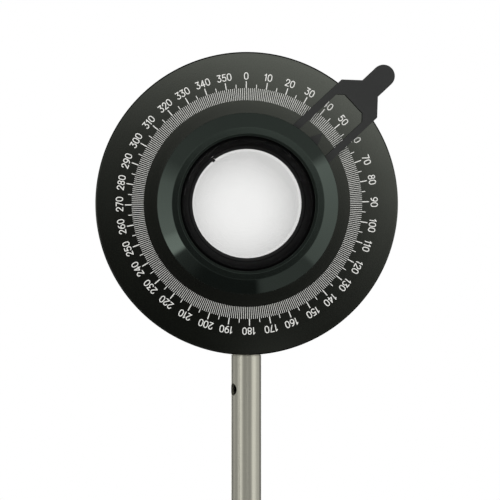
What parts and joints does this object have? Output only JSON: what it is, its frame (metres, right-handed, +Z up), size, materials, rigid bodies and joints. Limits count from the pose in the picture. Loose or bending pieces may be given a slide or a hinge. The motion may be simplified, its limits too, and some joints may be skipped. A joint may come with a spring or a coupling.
{
  "type": "mounted quarter-wave plate",
  "caption": "Quarter-wave plate in a rotating hub with a forked pointer over a graduated angle disc, carried on a round steel rod with a tommy bar hole.",
  "frame": {"origin": "centre of the rod's lower end, on the rod's axis", "axes": "+Z up along the rod, the graduated front faces -Y, +X to the right of somebody reading the scale"},
  "size_m": [0.1, 0.0266, 0.2],
  "materials": {
    "black_disc": "black anodised, satin",
    "steel_rod": "satin turned stainless steel",
    "steel_small": "plain steel",
    "black_gloss": "black, glossy",
    "black_matte": "black anodised, matte",
    "dark_lever": "dark grey, matte",
    "clear_glass": "polished",
    "clear_film": "clear plastic film",
    "slip_plastic": "smooth"
  },
  "bodies": {
    "stand": {"scale_disc": "black_disc", "rod": "steel_rod", "rod_stud": "steel_small", "rear_slip_ring": "slip_plastic"},
    "pointer": {"barrel": "black_matte", "hub_ring": "black_gloss", "pointer_lever": "dark_lever", "lever_screws": "steel_small", "snap_ring": "black_matte", "front_glass": "clear_glass", "retarder_film": "clear_film", "rear_glass": "clear_glass", "front_slip_ring": "slip_plastic", "wave_spring": "steel_small", "rear_collar": "black_matte", "collar_screws": "steel_small"}
  },
  "joints": [
    {"name": "pointer_turn", "type": "hinge", "parent": "stand", "child": "pointer", "pos_m": [0, 0, 0.15], "axis": [0, 1, 0], "continuous": true}
  ]
}
